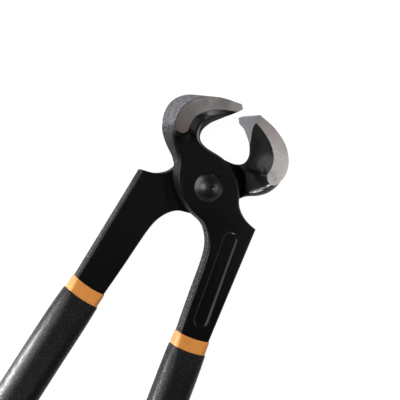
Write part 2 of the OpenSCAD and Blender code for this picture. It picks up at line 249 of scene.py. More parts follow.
back_points = np.concatenate([
    np.array(head_share) * [jaw_back, jaw_reach],
    np.array(neck_share) * plate_r,
    np.array(crotch_share) * [crotch_w, -crotch_h] - [0, crotch_y],
    [mix(crotch_foot, band_in, share) for share in (1 / 3, 1)],
])
throat_points = np.concatenate([
    [edge + bevel_dir * bevel_l * s + bevel_side * crest_over * (1 - s) for s in crest_share],
    np.stack([throat_half * hook[:, 0], mix(throat_y, jaw_reach, hook[:, 1])], -1),
    np.array(rim_share) * plate_r,
    [mix(rim_end, corner, np.array(share)) for share in shoulder_share],
])
arm_points = np.array([corner] + [mix(corner, band_out, share) for share in arm_share])
last_row = len(back_points) - 1
turn = len(throat_points) - 1
print("listed rows", last_row + 1, "with the shoulder's corner at row", turn)

# %% [markdown]
# ## Heights along the forging
#
# From the jaw to the arm a section changes from a wedge with ground sides into a bar with
# rounded edges. The shares below say, row by row, how far that change has gone.

# %% Shares along the rows
jaw_share = [1] * 10 + [0.85, 0.45, 0.2, 0.08] + [0] * 14
rear_share = [1] * 10 + [0.98, 0.88, 0.62, 0.28, 0.06] + [0] * 13
fall_share = [0] * 18 + [0.03, 0.12, 0.32, 0.6, 0.85, 0.97, 1, 1, 1, 1]
rise_share = [0] * 23 + [0.1, 0.22, 0.363, 0.6, 1]
flat_share = [0.3, 0.62, 0.72, 0.83, 0.91, 0.97, 0.99, 0.985, 1, 0.97, 0.81] + [0.7] * 17
bevel_share = [1] * 13 + [0.95, 0.8, 0.55, 0.3, 0.15, 0.05] + [0] * 9
crown_share = [0, 0.05, 0.2, 0.5, 0.9, 1, 0.95, 0.7, 0.3] + [0] * 19
swell_share = [0] * 9 + [0.05, 0.6, 1, 0.95, 0.6, 0.25] + [0] * 13
belly_share = [0] * 9 + [0.1, 0.5, 1, 1, 0.8, 0.3] + [0] * 13
print("rows with a share:", len(jaw_share))


# %% Rows a fraction of a millimetre apart
def edges_at(t):
    """Back edge and throat edge at rows t; past the shoulder's corner the arm takes over."""
    near = t <= turn
    return spline(back_points, t), np.concatenate(
        [spline(throat_points, t[near]), spline(arm_points, t[~near] - turn)]
    )


fine, coarse = 0.3, 0.9
t = np.linspace(0, last_row, 100 * last_row + 1)
moves = [np.linalg.norm(np.diff(line, axis=0), axis=1) for line in edges_at(t)]
steps = np.maximum(*moves) / np.where(t[1:] <= turn, fine, coarse)
count = np.concatenate([[0], np.cumsum(steps)])
row_t = np.unique(np.concatenate([np.interp(np.arange(count[-1]), count, t), [turn, last_row]]))
print("sections along one half:", len(row_t))

# %% [markdown]
# ## The end of the ground band
#
# On the real jaw the grinding wheel only reaches the raised side of the hook, so the bright
# band ends in a round tongue above the neck, with a small hollow below it. An oval in plan
# gives the tongue, and the height below it fades like the hollow that a die's radius leaves.

# %% Land of the jaw's side and its fall below the tongue
tongue_mid = np.array([-0.86 * jaw_back, 0.5 * jaw_reach])
tongue_w, tongue_l, tongue_power, tongue_top, hollow = 3.1, 3.6, 2.2, 1.2, 1.3


def land(x, y, base):
    """Height of the flat side over plan point (x, y). With u the distance beyond the tongue's
    oval, it is base + (ground level - base) * e^(-u / hollow), and it goes on rising at the
    same slope inside the oval until the steel left for grinding is reached. Above the oval's
    middle the whole side counts as inside."""
    ground = jaw_w / 2
    down = tongue_mid[1] - y
    oval = np.abs((x - tongue_mid[0]) / tongue_w) ** tongue_power
    oval = oval + np.abs(np.maximum(down, 0) / tongue_l) ** tongue_power
    u = np.minimum((oval ** (1 / tongue_power) - 1) * tongue_l, down * tongue_top)
    outside = base + (ground - base) * np.exp(-np.maximum(u, 0) / hollow)
    inside = ground + (ground - base) / hollow * np.maximum(-u, 0)
    return np.minimum(np.where(u > 0, outside, inside), ground + grind)


# %% [markdown]
# ## One section
#
# Each side of a section runs from the back wall over its rounded corner, across the flat face
# and down to the throat. In the jaw that last stretch is a wedge with a blunt nose, which a
# hyperbola gives; in the neck it is a broad forged bevel, and on the arm a plain rounding. The
# lower side, which is the one that shows on the turned rear half, also has a rounded belly and
# three low marks that the die left.


# %% Heights of edges and marks
def rounded(distance, radius):
    """Drop of a quarter-round edge at a distance from the edge: r - sqrt(r^2 - (r - x)^2)."""
    inside = np.clip(1 - distance / radius, 0, 1)
    return radius * (1 - np.sqrt(1 - inside**2))


def lower_of(a, b, blend):
    """The lower of two heights, with their meeting line rounded over a height of blend."""
    return np.minimum(a, b) - np.maximum(blend - np.abs(a - b), 0) ** 2 / (4 * blend)


def fin(spot, start, end, height=0.22, width=0.55):
    """Low ridge on the straight line from start to end: height exp(-(distance / width)^2)."""
    start, along = np.array(start), np.array(end) - start
    share = np.clip((spot - start) @ along / (along @ along), 0, 1)
    return height * np.exp(-((spot - start - along * share[..., None]) ** 2).sum(-1) / width**2)


# %% Profile across the forging
wall_n, corner_n, face_n, flank_n, crowding = 6, 9, 17, 34, 1.7
nose, wedge_blend, neck_slope, flank_most = 1.1, 0.12, 4 / 3, 0.85
swell_z, swell_h = -5, 6
die_marks = [
    [(-16.7, 17.4), (-17.6, 14.4)],
    [(-13.3, 14.0), (-14.1, 13.0)],
    [(-9.8, 25.8), (-11.6, 24.0)],
]


def section_side(sign, p, q, row):
    """One side of every section, from the back wall's middle to the throat's middle. It has f
    of flank, and e is the distance from the throat edge. The jaw's flank is steep round its
    blunt nose n, rise sqrt((e^2 + 2 n e) / (f^2 + 2 n f)) of the half width, and then leans
    back in a straight bevel, 1 - slant (1 - e / f) of it. The neck's flank is
    face + neck slope (e - bevel), and the jaw's share mixes the two. Last, the back wall is
    pushed out: by lean, growing evenly from top to bottom, and by swell, as
    1 - ((z - swell z) / swell h)^2, both fading towards the throat."""
    tall = {name: value[:, None] for name, value in row.items()}
    d = np.linalg.norm(q - p, axis=1)[:, None]
    way = (q - p)[:, None, :] / d[..., None]
    base = sign * (tall["high"] if sign > 0 else tall["low"])
    middle = sign * tall["middle"]
    radius = tall["upper_r"] if sign > 0 else tall["lower_r"] + tall["belly"]
    f = d - np.minimum(tall["flat"], d * flank_most)
    ones = np.ones((1, wall_n))
    quarter = np.linspace(0, np.pi / 2, corner_n)[None, :-1]
    s_face = np.linspace(0, 1, face_n)[None, :-1]
    s_flank = np.linspace(1, 0, flank_n)[None, :]
    x = np.concatenate([
        0 * d * ones[:, :-1], radius * (1 - np.cos(quarter)),
        mix(radius, d - f, s_face), d - f * s_flank**crowding, d * ones[:, 1:],
    ], 1)
    e = d - x
    spot = p[:, None, :] + way * x[..., None]
    steep = tall["rise"] * np.sqrt((e * e + 2 * nose * e) / (f * f + 2 * nose * f))
    wedge = lower_of(steep, 1 - tall["slant"] * (1 - e / f), wedge_blend) * jaw_w / 2
    flank = mix(base + neck_slope * (e - tall["bevel"]), wedge, tall["jaw"])
    height = lower_of(land(spot[..., 0], spot[..., 1], base), flank, tall["blend"])
    height = height - rounded(x, radius) - (1 - tall["jaw"]) * rounded(e, tall["rim"])
    if sign < 0:
        for start, end in die_marks:
            height = height + fin(spot, start, end)
    climb = np.linspace(0, 1, wall_n)[None, :]
    height[:, :wall_n - 1] = mix(middle, height[:, :1], climb[:, :-1])
    height[:, 1 - wall_n:] = mix(height[:, -wall_n:1 - wall_n], middle, climb[:, 1:])
    z = sign * height
    out = tall["lean"] * (0.5 - z / (jaw_w + 2 * grind)) * (1 - x / d)
    swell = np.maximum(1 - ((z - swell_z) / swell_h) ** 2, 0)
    out = out + tall["swell"] * swell * (1 - x / d) ** 2
    return np.concatenate([p[:, None, :] + way * (x - out)[..., None], z[..., None]], -1)


def sections(p, q, row):
    """Closed rings: the upper side from back to throat, then the lower side back again."""
    upper = section_side(1, p, q, row)
    lower = section_side(-1, p, q, row)
    return np.concatenate([upper, lower[:, -2:0:-1]], 1)


# %% [markdown]
# ## The handle's own line
#
# The tang and both dipped layers follow one middle line, which leans outwards, bows a little
# towards the other handle and sinks towards the end, so that both handles lie on the table.

# %% Middle line of the handle
# Handle: length, height of the bare band, bow, height of its middle at the end.
handle_l, band_h, handle_bow, end_rise = 109.5, 5.6, 2.2, 0.6
# Tang: length, width, thickness, edge radius; grip: the same, then its swelling and its end.
tang_l, tang_w, tang_t, tang_r = 98, 11, 6, 2.2
grip_w, grip_t, grip_r, grip_swell, grip_round = 16.5, 11, 5.2, 14, 7


def handle_line(s):
    """Plan points, direction across and height at distances s below the handle's top.
    Plan = top + way down * s - way across * bow * (s / length)^2."""
    s = np.asarray(s, float)
    bend = (s / handle_l)[:, None]
    plan = handle_top + handle_dir * s[:, None] - handle_side * handle_bow * bend**2
    side = handle_side + handle_dir * 2 * handle_bow * bend / handle_l
    side /= np.linalg.norm(side, axis=1, keepdims=True)
    return plan, side, mix(band_rise, end_rise, s / handle_l)


def tang_size(s):
    """Width, thickness and edge radius of the steel inside the handle. Width and thickness run
    evenly from the arm's to the tang's end, and the radius does within the grip's top."""
    share = np.minimum(np.asarray(s, float) / tang_l, 1)
    ease = np.minimum(np.asarray(s, float) / (band_h + grip_swell / 2), 1)
    return mix(arm_w, tang_w, share), mix(arm_t, tang_t, share), mix(edge_r, tang_r, ease)


# %% Rings of one whole half
belly_r, neck_rim, neck_blend, arm_blend, neck_low = 2.2, 0.5, 0.7, 0.05, 1.8


def half_rings(lean, swell, slant, rise, upper_r, lower_r):
    """Sections of the jaw, lap and arm, followed by those of the tang. Lean and swell push the
    jaw's back out, slant and rise shape the flank as in section_side, and upper_r and lower_r
    round the jaw's back edges."""
    t = row_t
    p, q = edges_at(t)
    w = eased(jaw_share, t)
    arm_mid = mix(shoulder_rise, band_rise, eased(rise_share, t))
    high = mix(np.full(len(t), plate_t), arm_mid + arm_t / 2, eased(fall_share, t))
    low = mix(arm_mid - arm_t / 2, neck_low - jaw_w / 2, eased(rear_share, t))
    bevel = eased(bevel_share, t)
    row = {
        "high": high, "low": low, "middle": mix((high + low) / 2, 0, w), "jaw": w,
        "flat": jaw_flat * eased(flat_share, t), "bevel": neck_bevel * bevel,
        "upper_r": mix(edge_r, upper_r, bevel), "lower_r": mix(edge_r, lower_r, bevel),
        "belly": belly_r * eased(belly_share, t),
        "rim": mix(edge_r, neck_rim, bevel), "blend": mix(arm_blend, neck_blend, bevel),
        "lean": lean * eased(crown_share, t), "swell": swell * eased(swell_share, t),
        "slant": np.full(len(t), slant), "rise": np.full(len(t), rise),
    }
    s = np.linspace(2, tang_l, 40)
    plan, side, level = handle_line(s)
    width, depth, radius = tang_size(s)
    tang = dict.fromkeys(row, np.zeros(len(s))) | {
        "high": level + depth / 2, "low": level - depth / 2, "middle": level, "rim": radius,
        "flat": width / 2, "upper_r": radius, "lower_r": radius,
        "blend": np.full(len(s), arm_blend),
    }
    half_w = side * width[:, None] / 2
    return np.concatenate([sections(p, q, row), sections(plan - half_w, plan + half_w, tang)])


front_rings = half_rings(crown_lean, swell=0, slant=0.36, rise=1.5, upper_r=1.6, lower_r=0.4)
rear_rings = half_rings(0, belly_swell, slant=0.8, rise=1.25, upper_r=0.4, lower_r=1.6)
print("sections:", front_rings.shape[0], "points round each:", front_rings.shape[1])

# %% [markdown]
# ## What is cut from the forging
#
# After forging, the jaw sides and the cutting bevel are ground flat, the rivet hole is drilled
# and a round pocket is milled so that the other half's plate can turn in it. Boolean cutters
# do here what the grinder and the mill did: each cut leaves a crisp edge in the soft forging.
# The rear jaw's visible side was ground leaning back by about two degrees, as its reflections
# on the photograph tell.


# %% Cutters as prisms
def prism(name, outline, low, high, place):
    """Outline carried from height low to height high; a height may also be one per point."""
    ring = [np.column_stack([outline, z + np.zeros(len(outline))]) for z in (low, high)]
    return from_rings(name, np.stack(ring), place)


def turned(points, angle):
    """Plan points turned about the origin: (x cos a - y sin a, x sin a + y cos a)."""
    c, s = np.cos(angle), np.sin(angle)
    return np.asarray(points, float) @ np.array([[c, s], [-s, c]])


def circle(radius, n):
    """Points round the pivot: radius (cos a, sin a)."""
    angle = np.arange(n) * 2 * np.pi / n
    return radius * np.stack([np.cos(angle), np.sin(angle)], -1)


# %% [markdown]
# ## The sunk panel
#
# The die pressed a long shallow panel with round ends into each arm's face. It could be cut
# from the profile, but a cutter of just two rings, floor and mouth, gives its sloping walls.


# %% Panel cutter
panel_floor, panel_face, panel_depth, panel_end = 5.0, 6.2, 0.6, 7.5


def panel_line():
    """Start of the sunk panel, its direction down the arm, and its length."""
    start = (back_points[turn + 1] + arm_points[1]) / 2
    end = handle_top - handle_dir * panel_end
    length = np.linalg.norm(end - start)
    return start, (end - start) / length, length


def panel_rings():
    """Sloping-sided racetrack sunk into the arm's front face, as two rings: the floor, and the
    same outline above the face, where the walls' slope has widened it three times as much as
    at the face."""
    start, way, length = panel_line()
    side = np.array([-way[1], way[0]])
    face_start = mix(shoulder_rise, band_rise, arm_share[0]) + arm_t / 2
    face_end = band_rise + arm_t / 2
    angle = np.linspace(np.pi / 2, 3 * np.pi / 2, 25)
    mouth = panel_floor + 3 * (panel_face - panel_floor)
    rings = []
    for up, width in ((-panel_depth, panel_floor), (2 * panel_depth, mouth)):
        round_end = width / 2 * np.stack([np.cos(angle), np.sin(angle)], -1)
        outline = np.concatenate([round_end, [length, 0] - round_end])
        plan = start + way * outline[:, :1] + side * outline[:, 1:]
        face = mix(face_start, face_end, outline[:, 0] / length)
        rings.append(np.column_stack([plan, face + up]))
    return np.stack(rings)


# %% Cutters of one half
far, land_l, bore_r = 60, 9, 4.05
round_jaw = np.array([[-45, -20], [15, -20], [15, 45], [-45, 45]], float)


def carve(piece, cutters):
    """Takes every cutter away from the piece by exact booleans and keeps the result as the
    piece's own mesh, so that no modifier stays live."""
    for cutter in cutters:
        cut = piece.modifiers.new(cutter.name, "BOOLEAN")
        cut.operation, cut.solver, cut.object = "DIFFERENCE", "MANIFOLD", cutter
    depsgraph = bpy.context.evaluated_depsgraph_get()
    mesh = bpy.data.meshes.new_from_object(piece.evaluated_get(depsgraph))
    piece.modifiers.clear()
    piece.data = mesh
    for cutter in cutters:
        bpy.data.objects.remove(cutter)
    mesh.name = piece.name
    mesh.materials.clear()


def side_wheel(name, sign, slope, place):
    """Block that grinds one side of the jaw. Its face lies at the jaw's half width at the edge
    and goes deeper towards the jaw's back by slope for each millimetre."""
    face = sign * (jaw_w / 2 - slope * (edge[0] - round_jaw[:, 0]))
    return prism(name, round_jaw, face, sign * jaw_w, place)


def cutters_for(place, slope):
    """Side wheels, bevel, end face, pocket, bore and sunk panel of one half."""
    bevel = edge + turned([[0, -bevel_l], [far, -bevel_l], [far, far], [0, far]], -bevel_angle)
    land_face = edge + turned([[0, -land_l], [far, -land_l], [far, far], [0, far]], land_angle)
    return [
        side_wheel("side_wheel", 1, 0, place),
        side_wheel("far_side_wheel", -1, slope, place),
        prism("bevel_wheel", bevel, -far, far, place),
        prism("end_wheel", land_face, -far, far, place),
        prism("pocket_mill", circle(pocket_r, 160), -far, lap_gap / 2, place),
        prism("bore_drill", circle(bore_r, 96), -far, far, place),
        from_rings("panel_die", panel_rings(), place),
    ]


# %% Forge and grind both halves
ground_slope = 0.035
front_forging = from_rings("front_forging", front_rings, in_front)
rear_forging = from_rings("rear_forging", rear_rings, behind)
carve(front_forging, cutters_for(in_front, 0))
carve(rear_forging, cutters_for(behind, ground_slope))
for half in (front_forging, rear_forging):
    print(half.name, len(half.data.vertices), "points", len(half.data.polygons), "faces")

# %% [markdown]
# ## Edges and faces that the finish follows
#
# Smooth shading rounds everything, so the cuts' edges are marked sharp by the angle between
# their faces. The ground faces get their own material slots. Everything else is stored as
# numbers on the mesh, which the materials read. Some is wear: where a belt linished the jaw's
# back and trimmed the walls, and where the throat is scaly. Some is painted light: a painted
# highlight on the neck's wall beside the rivet, a painted sheen on the throat's slopes and on
# one panel wall, and a painted brown reflection on the ground sides. Numbers on the mesh stay
# with the surface and need no picture.


# %% Arrays of a mesh
def read(items, key, width, kind=float):
    """One value or one row of values for each item of a mesh."""
    data = np.empty(len(items) * width, kind)
    items.foreach_get(key, data)
    return data.reshape(-1, width) if width > 1 else data


def mark_sharp(mesh, degrees):
    """An edge is sharp where its two faces' normals meet at more than the given angle, and
    where a ground face meets a forged one."""
    normals = read(mesh.polygons, "normal", 3)
    starts = read(mesh.polygons, "loop_start", 1, int)
    totals = read(mesh.polygons, "loop_total", 1, int)
    loop_edge = read(mesh.loops, "edge_index", 1, int)
    order = np.argsort(starts)
    owner = np.repeat(order, totals[order])
    by_edge = np.argsort(loop_edge, kind="stable")
    edges = loop_edge[by_edge]
    pair = edges[1:] == edges[:-1]
    a, b = owner[by_edge][:-1][pair], owner[by_edge][1:][pair]
    sharp = np.zeros(len(mesh.edges), bool)
    cosine = np.einsum("ij,ij->i", normals[a], normals[b])
    finish = read(mesh.polygons, "material_index", 1, int)
    sharp[edges[:-1][pair]] = (cosine < np.cos(np.radians(degrees))) | (finish[a] != finish[b])
    mesh.shade_smooth()
    layer = mesh.attributes.get("sharp_edge")
    layer = layer or mesh.attributes.new("sharp_edge", "BOOLEAN", "EDGE")
    layer.data.foreach_set("value", sharp)
    return sharp.sum()


def store(mesh, name, values, domain="POINT"):
    """Attribute of a mesh with one number for each point or face."""
    layer = mesh.attributes.new(name, "FLOAT", domain)
    layer.data.foreach_set("value", values.astype(np.float32))


def fade(values, start, end):
    """(value - start) / (end - start), held at nought before start and at one after end."""
    return np.clip((values - start) / (end - start), 0, 1)


# %% Which faces are ground, and which are the panel's wall
on_plane = 0.003


def panel_wall(mesh, unplace):
    """1 on the faces of the sunk panel's inner wall: on the arm, within 4 mm of the panel's
    line, and tilted by about 45 degrees away from the back edge."""
    start, way, _ = panel_line()
    centre = (read(mesh.polygons, "center", 3) / MM - pivot) * unplace
    facing = read(mesh.polygons, "normal", 3) * unplace
    across = (centre[:, :2] - start) @ np.array([-way[1], way[0]])
    tilted = (np.abs(facing[:, 2]) > 0.6) & (np.abs(facing[:, 2]) < 0.8) & (facing[:, 0] > 0.3)
    return tilted & (np.abs(across) < 4) & (centre[:, 1] < -10)


def mark_ground(mesh, local, slope):
    """Face is ground where all its points lie on a wheel's plane: a side at the jaw's half
    width, less slope for each millimetre back from the edge, the bevel, or the narrow end."""
    face_local = local[read(mesh.loops, "vertex_index", 1, int)]
    starts = read(mesh.polygons, "loop_start", 1, int)
    from_edge = face_local[:, :2] - edge
    bevel_off = np.abs(from_edge @ bevel_side)
    end_off = np.abs(from_edge @ np.array([np.cos(land_angle), np.sin(land_angle)]))
    sloped = jaw_w / 2 - slope * (edge[0] - face_local[:, 0])
    face_z = np.where(face_local[:, 2] < 0, sloped, jaw_w / 2)
    side_off = np.abs(np.abs(face_local[:, 2]) - face_z) + far * (face_local[:, 1] < 10)
    offs = (side_off, bevel_off, end_off)
    side, bevel, end = (~np.logical_or.reduceat(off > on_plane, starts) for off in offs)
    return side, bevel | end


# %% Wear and painted light on both forgings, placed in each half's own millimetres
for half, unplace, slope in (
    (front_forging, [1, 1, 1], 0), (rear_forging, [-1, 1, -1], ground_slope),
):
    mesh = half.data
    local = (read(mesh.vertices, "co", 3) / MM - pivot) * unplace
    x, y = local[:, 0], local[:, 1]
    level = np.abs(read(mesh.vertices, "normal", 3)[:, 2])
    side, bevel = mark_ground(mesh, local, slope)
    # The throat is a round of 15 mm about a point 24 mm above the rivet.
    in_throat = np.hypot(x, y - 24) < 15
    # The belt reached the jaw's back, and brushed the neck beside the rivet lightly.
    back = fade(y, 8, 17)
    # The belt reached the jaw's back. Beside the rivet, on the neck's back-edge side, the wall
    # keeps a lighter grey, a painted highlight of its rounded edge.
    on_neck = fade(y, -16, -10) * fade(y, 15, 8)
    painted_neck_highlight = 0.6 * np.exp(-(((y - 2.5) / 4.5) ** 2)) * (x < 0)
    # Level is how far a face looks up or down: 0 on a wall, 1 on a flat face.
    upright = fade(level, 0.4, 0.1) * ~in_throat
    slope_face = fade(level, 0.68, 0.76) * fade(level, 0.95, 0.89)
    store(mesh, "linished", back**2 * (3 - 2 * back))
    store(mesh, "upright", upright)
    store(mesh, "scaly", fade(level, 0.68, 0.54) * in_throat)
    store(mesh, "trimmed_walls_and_painted_highlight", upright * (1 - on_neck * (1 - painted_neck_highlight)))
    # Painted sheen: the throat's tilted slopes get a lighter grey for the light that they
    # reflect.
    store(mesh, "painted_sheen", slope_face * in_throat * fade(y, 19, 23))
    # Painted reflection: a browner, darker steel towards the lower end of the front jaw's
    # ground side and at the rear jaw's tip.
    store(mesh, "painted_brown_reflection", fade(y, 29, 16) if half is front_forging else 0.7 * fade(y, 28, 33))
    # The painted sheen also lightens the sunk panel's wall that faces away from the back edge.
    store(mesh, "panel_wall", panel_wall(mesh, unplace), "FACE")
    finish = side * 1 + (bevel & ~side) * 2
    mesh.polygons.foreach_set("material_index", finish.astype(np.int32))
    print(half.name, "sharp edges", mark_sharp(mesh, 30), "ground faces", (side | bevel).sum())

# %% [markdown]
# ## The rivet
#
# The rivet is turned round its axis: a low dome with a punched dimple in front, a shank that
# fills both bores, and a flatter head that was formed behind. A half outline carried round a
# circle gives all of it, and its short radii keep the rims from looking razor sharp.

# %% Rivet outline carried round its axis
rivet_r, head_r, head_h, tail_r, tail_h = 4, 6.2, 3.4, 5.6, 2.2
dimple_r, dimple_depth, rim_lift = 1.2, 1.04, 0.02


def cap(radius, height, n):
    """Points of a spherical cap from its middle to its rim, as radius and height above the
    rim's plane: sphere radius = (r^2 + h^2) / 2h."""
    sphere = (radius**2 + height**2) / (2 * height)
    angle = np.linspace(0, 1, n) * np.arcsin(radius / sphere)
    return sphere * np.sin(angle), height - sphere * (1 - np.cos(angle))


def rivet_outline():
    """Radius and height from the middle of the front head to the middle of the rear one. The
    dimple is as deep as dimple_depth * (1 - (r / dimple_r)^2)^2, and a small share of the
    dome's height is an upright at its rim."""
    r, z = cap(head_r, head_h, 60)
    z = z - dimple_depth * np.clip(1 - (r / dimple_r) ** 2, 0, 1) ** 2
    z = mix(z, head_h, rim_lift)
    tail_x, tail_z = cap(tail_r, tail_h, 24)
    front = np.stack([r, plate_t + z], -1)
    rear = np.stack([tail_x, -plate_t - lap_gap - tail_z], -1)[::-1]
    shank = [[rivet_r, plate_t], [rivet_r, -plate_t - lap_gap]]
    rim = [[head_r, plate_t]]
    return np.concatenate([front[1:], rim, shank, rear[:-1]])


outline, around = rivet_outline(), circle(1, 128)
height = outline[:, None, 1:] + 0 * around[:, :1]
rings = np.concatenate([outline[:, None, :1] * around, height], -1)
domed_rivet = from_rings("domed_rivet", rings, in_front)
mark_sharp(domed_rivet.data, 35)
print("rivet from", outline[:, 1].min().round(2), "to", outline[:, 1].max().round(2), "mm")

# %% [markdown]
# ## The dipped handles
#
# Each tang is dipped in liquid PVC twice. A dip leaves a skin that is thinnest at its top edge
# and ends there in a rolled lip, and it hangs into a rounded end. A Solidify modifier would
# give an even skin; here each one is a chain of rings that climbs inside it, turns over the
# lip and runs down outside, so that its thickness can change on the way.


# %% Rings of rounded rectangles
dip_sag, sag_l = 0.7, 10


def handle_rings(s, width, depth, radius, arc=9, straight=12):
    """Rounded rectangles across the handle's line. Corner centres lie a radius in from the
    sides, each corner is a quarter circle, and the sides between carry a few points more. Near
    the top the middle of each face hangs lower by sag * (1 - across^2), as a dip line does."""
    sizes = (np.asarray(size, float) for size in (s, width, depth, radius))
    s, width, depth, radius = np.broadcast_arrays(*sizes)
    plan, side, rise = handle_line(s)
    sag = dip_sag * np.clip(1 - (s[:, None] - band_h) / sag_l, 0, 1)
    angle = np.linspace(0, np.pi / 2, arc)
    share = np.linspace(0, 1, straight + 2)[1:-1]
    corners = []
    for quarter, (sx, sz) in enumerate(((1, 1), (-1, 1), (-1, -1), (1, -1))):
        turn_a = angle + quarter * np.pi / 2
        x = sx * (width / 2 - radius)[:, None] + radius[:, None] * np.cos(turn_a)
        z = sz * (depth / 2 - radius)[:, None] + radius[:, None] * np.sin(turn_a)
        corners.append(np.stack([x, z], -1))
    chain = []
    for quarter in range(4):
        a, b = corners[quarter], corners[(quarter + 1) % 4]
        chain += [a, mix(a[:, -1:], b[:, :1], share[None, :, None])]
    ring = np.concatenate(chain, 1)
    sag = sag * (1 - (ring[..., 0] / (width[:, None] / 2)) ** 2)
    plan = plan[:, None, :] + side[:, None, :] * ring[..., :1] + handle_dir * sag[..., None]
    return np.concatenate([plan, rise[:, None, None] + ring[..., 1:]], -1)


# %% Inner orange layer
dip_start, dip_t, dip_fit, end_wall, grip_step = 0.35, 0.6, 0.02, 1.2, 0.5


def around_tang(s, out):
    """Ring a distance out from the tang's own section."""
    width, depth, radius = tang_size(s)
    return handle_rings(s, width + 2 * out, depth + 2 * out, radius + out)


def inner_dip(name, place):
    """Skin thickness: dip_start at the top, growing evenly to dip_t below the band. The lip is
    a half round whose thickness is that of the skin."""
    end = tang_l + dip_fit
    roll = np.linspace(0, np.pi, 9)[1:-1]
    lip_s = dip_start / 2 * (1 - np.sin(roll))
    lip_out = dip_fit + dip_start * (1 - np.cos(roll)) / 2
    near, below = np.linspace(dip_start / 2, band_h + 1, 22), np.linspace(band_h + 3.4, end, 30)
    down = np.concatenate([near, below])
    thick = dip_fit + mix(dip_start, dip_t, np.clip(down / band_h, 0, 1))
    rings = [
        around_tang(np.linspace(end, dip_start / 2, 40), dip_fit),
        around_tang(lip_s, lip_out),
        around_tang(down, thick),
        around_tang(np.array([end + end_wall]), dip_t / 2),
    ]
    return from_rings(name, np.concatenate(rings), place)


front_inner_dip = inner_dip("front_inner_dip", in_front)
rear_inner_dip = inner_dip("rear_inner_dip", behind)
print("orange skins", dip_start, "to", dip_t, "mm thick")

# %% [markdown]
# ## The grips
#
# The black layer starts lower, so that a band of the orange one stays bare above it. It is
# thick enough to be a grip: it swells below its lip, follows the bowed handle and closes like
# the drop that hung there when the tool was taken out of the bath.

# %% Outer black layer
lip, lip_gap, thinnest = 0.45, 0.3, 0.02


def grip_size(s):
    """Width, thickness and edge radius of the grip. It swells with 1 - (1 - s')^2 below its top
    edge, and a quarter ellipse closes its end, with the radius just under half the depth."""
    swell = 1 - np.clip(1 - (s - band_h) / grip_swell, 0, 1) ** 2
    past = np.clip(1 - (handle_l - s) / grip_round, 0, 1)
    close = np.sqrt(np.maximum(1 - past**2, thinnest**2))
    out = dip_fit + dip_t + grip_step
    width, depth, radius = tang_size(np.array([band_h]))
    wide = mix(width + 2 * out, grip_w, swell) - grip_t * (1 - close)
    deep = mix(depth + 2 * out, grip_t, swell) * close
    return wide, deep, np.minimum(mix(tang_r + out, grip_r, swell), deep / 2.05)


def outer_dip(name, place):
    """The lip at the top rolls over in a quarter round of radius lip."""
    end = tang_l + end_wall + 2 * dip_fit
    inside = 2 * dip_fit + dip_t
    roll = np.linspace(0, np.pi / 2, 8)
    top_w, top_d, top_r = grip_size(band_h + 0 * roll)
    inset = lip * (1 - np.sin(roll))
    lip_rings = handle_rings(
        band_h + lip * (1 - np.cos(roll)), top_w - 2 * inset, top_d - 2 * inset, top_r - inset
    )
    s = np.concatenate([
        np.linspace(band_h + lip + lip_gap, band_h + grip_swell, 30),
        np.linspace(band_h + grip_swell + 1.5, handle_l - grip_round, 50),
        handle_l - grip_round * (1 - np.sin(np.linspace(0, np.pi / 2, 18)[1:])),
    ])
    climb = np.linspace(end, band_h + 0.1, 40)
    rings = [around_tang(climb, inside), lip_rings, handle_rings(s, *grip_size(s))]
    return from_rings(name, np.concatenate(rings), place)


front_outer_dip = outer_dip("front_outer_dip", in_front)
rear_outer_dip = outer_dip("rear_outer_dip", behind)
for skin in (front_inner_dip, rear_inner_dip, front_outer_dip, rear_outer_dip):
    mark_sharp(skin.data, 50)
    print(skin.name, len(skin.data.polygons), "faces")

# %% [markdown]
# ## Which piece stands for which node
#
# Each dressed piece hides its CAD node and moves with the same body, so that the rear half
# with its handle still turns on the rivet.

# %% Bodies, nodes and slots
for piece, node, body, slot in (
    (front_forging, "front_half", "front", "black_steel"),
    (rear_forging, "rear_half", "rear", "black_steel"),
    (domed_rivet, "rivet", "front", "rivet_steel"),
    (front_inner_dip, "front_sleeve", "front", "orange_dip"),
    (rear_inner_dip, "rear_sleeve", "rear", "orange_dip"),
    (front_outer_dip, "front_grip", "front", "black_grip"),
    (rear_outer_dip, "rear_grip", "rear", "black_grip"),
):
    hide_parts(node)
    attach(piece, body)
    print(piece.name, "stands for", node, "on the body", body)

# %% [markdown]
# ## Materials
#
# Every finish starts from what the real one is. One small function adds a node, sets its
# values and makes its links, and another turns the colours, written as on the screen, into
# the linear values that Blender computes with. A noise's scale counts its lumps in a metre, so
# 1500 gives lumps of two thirds of a millimetre.


# %% Colour and node helpers
def linear(code):
    """sRGB to linear: c / 12.92 below 0.04045, otherwise ((c + 0.055) / 1.055)^2.4."""
    c = np.array([int(code[i:i + 2], 16) for i in (1, 3, 5)]) / 255
    c = np.where(c <= 0.04045, c / 12.92, ((c + 0.055) / 1.055) ** 2.4)
    return (*c.tolist(), 1.0)


def add_node(tree, kind, inputs=None, **settings):
    """New node with its settings; kind is Blender's name for it without ShaderNode. Each input
    gets a value, or a link from an output socket or from the first output of a node."""
    node = tree.nodes.new("ShaderNode" + kind)
    for key, value in settings.items():
        setattr(node, key, value)
    for key, value in (inputs or {}).items():
        if isinstance(value, bpy.types.Node):
            value = value.outputs[0]
        if isinstance(value, bpy.types.NodeSocket):
            tree.links.new(value, node.inputs[key])
        else:
            node.inputs[key].default_value = value
    return node


def material(name):
    """Finish with an empty node tree, and the function that adds a node to that tree."""
    made = bpy.data.materials.new(name)
    made.use_nodes = True
    made.node_tree.nodes.clear()
    print("material", name)
    return made, partial(add_node, made.node_tree)


def stops(ramp, *pairs):
    """Colour ramp stops as (place, sRGB colour)."""
    elements = ramp.color_ramp.elements
    while len(elements) < len(pairs):
        elements.new(0.5)
    for element, (place, colour) in zip(elements, pairs):
        element.position, element.color = place, linear(colour)
